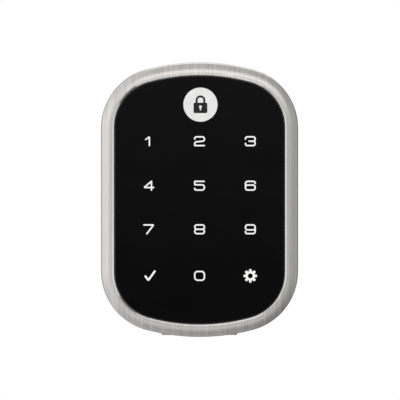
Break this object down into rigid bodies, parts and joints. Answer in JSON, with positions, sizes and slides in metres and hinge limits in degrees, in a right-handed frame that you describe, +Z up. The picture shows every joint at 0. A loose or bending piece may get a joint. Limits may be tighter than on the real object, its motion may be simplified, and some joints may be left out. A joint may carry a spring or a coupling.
{
  "type": "keypad smart lock",
  "caption": "Keyless door lock: touch keypad unit outside, motor unit with turn knob and battery cover inside, joined through the door by bolts, a drive blade and a cable.",
  "frame": {"origin": "centre of the door's cross bore on the outer face of the door", "axes": "+X right seen from outside, +Z up, +Y into the door towards the inside"},
  "size_m": [0.0666, 0.12, 0.0928],
  "materials": {
    "satin_nickel": "vertical satin brush",
    "cover_nickel": "fine satin paint",
    "knob_nickel": "satin brush along the grip",
    "black_glass": "polished, opaque black behind",
    "legend_white": "translucent white inlay",
    "disc_white": "smooth white window",
    "symbol_black": "gloss black inlay",
    "tape_black": "foam tape",
    "touch_film": "clear film with fine electrodes",
    "clear_acrylic": "moulded clear plate",
    "led_white": "phosphor cap",
    "board_green": "solder mask with traces",
    "chip_black": "moulded packages",
    "buzzer_black": "moulded case",
    "socket_white": "natural nylon",
    "black_plastic": "fine moulded grain",
    "gold_contact": "gold flash",
    "plated_steel": "zinc-plated sheet",
    "screw_steel": "bright zinc",
    "black_rubber": "moulded rubber",
    "gasket_foam": "closed-cell foam",
    "post_steel": "turned steel",
    "cable_sleeve": "braided sleeve",
    "spring_wire": "drawn wire",
    "blade_steel": "rolled strip",
    "bronze": "oiled sintered bronze",
    "hub_steel": "turned steel",
    "gear_nylon": "moulded nylon",
    "pinion_brass": "cut brass",
    "magnet_nickel": "nickel plate",
    "motor_steel": "drawn can",
    "gearbox_brass": "brass plates",
    "cell_wrap": "printed shrink wrap",
    "button_grey": "soft-touch cap",
    "shield_steel": "tinned shield"
  },
  "bodies": {
    "lock_body": {"front_housing": "satin_nickel", "touch_glass": "black_glass", "glass_adhesive": "tape_black", "number_legends": "legend_white", "icon_legends": "legend_white", "status_disc": "disc_white", "status_symbol": "symbol_black", "touch_sensor_sheet": "touch_film", "light_guide": "clear_acrylic", "key_leds": "led_white", "keypad_board": "board_green", "keypad_board_chips": "chip_black", "keypad_board_screws": "screw_steel", "buzzer": "buzzer_black", "keypad_cable_socket": "socket_white", "terminal_block": "black_plastic", "backup_terminals": "gold_contact", "outside_back_plate": "plated_steel", "back_plate_screws": "screw_steel", "housing_seal": "black_rubber", "cable_grommet": "black_rubber", "door_gasket": "gasket_foam", "mounting_posts": "post_steel", "tamper_switch": "buzzer_black", "tamper_spring": "spring_wire", "through_bolts": "screw_steel", "keypad_cable": "cable_sleeve", "cable_plugs": "socket_white", "inside_mount_plate": "plated_steel", "inside_chassis": "black_plastic", "chassis_screws": "screw_steel", "hub_bushing": "bronze", "hall_sensors": "chip_black", "mechanism_frame": "plated_steel", "small_screws": "screw_steel", "motor_gearbox": "gearbox_brass", "motor_can": "motor_steel", "battery_cells": "cell_wrap", "battery_springs": "spring_wire", "battery_contacts": "magnet_nickel", "control_board": "board_green", "control_board_chips": "chip_black", "wireless_module": "shield_steel", "control_socket": "socket_white", "button_switch": "buzzer_black", "inner_cover": "black_plastic", "cover_magnets": "magnet_nickel"},
    "thumbturn_drive": {"thumbturn": "knob_nickel", "thumbturn_screw": "screw_steel", "drive_hub": "hub_steel", "hub_clip": "spring_wire", "drive_gear": "gear_nylon", "position_magnet": "magnet_nickel", "drive_blade": "blade_steel"},
    "gearmotor_output": {"motor_pinion": "pinion_brass", "motor_shaft": "hub_steel"},
    "battery_cover": {"battery_cover": "cover_nickel", "cover_keepers": "plated_steel"},
    "privacy_button": {"privacy_button": "button_grey"},
    "tamper_plunger": {"tamper_plunger": "black_plastic"}
  },
  "joints": [
    {"name": "thumbturn_turn", "type": "hinge", "parent": "lock_body", "child": "thumbturn_drive", "pos_m": [0, 0, 0], "axis": [0, 1, 0], "range_deg": [0, 90]},
    {"name": "gearmotor_turn", "type": "hinge", "parent": "lock_body", "child": "gearmotor_output", "pos_m": [0, 0.051, 0.018], "axis": [0, 1, 0], "range_deg": [-270, 0]},
    {"name": "cover_slide", "type": "slide", "parent": "lock_body", "child": "battery_cover", "axis": [0, 1, 0], "range_m": [0, 0.042]},
    {"name": "privacy_press", "type": "slide", "parent": "lock_body", "child": "privacy_button", "axis": [0, -1, 0], "range_m": [0, 0.0007], "stiffness_N_per_m": 1500},
    {"name": "tamper_press", "type": "slide", "parent": "lock_body", "child": "tamper_plunger", "axis": [0, -1, 0], "range_m": [0, 0.0015], "stiffness_N_per_m": 300, "deforming": ["tamper_spring"]}
  ],
  "couplings": [
    {"joint": "gearmotor_turn", "follows": "thumbturn_turn", "ratio": -3}
  ]
}
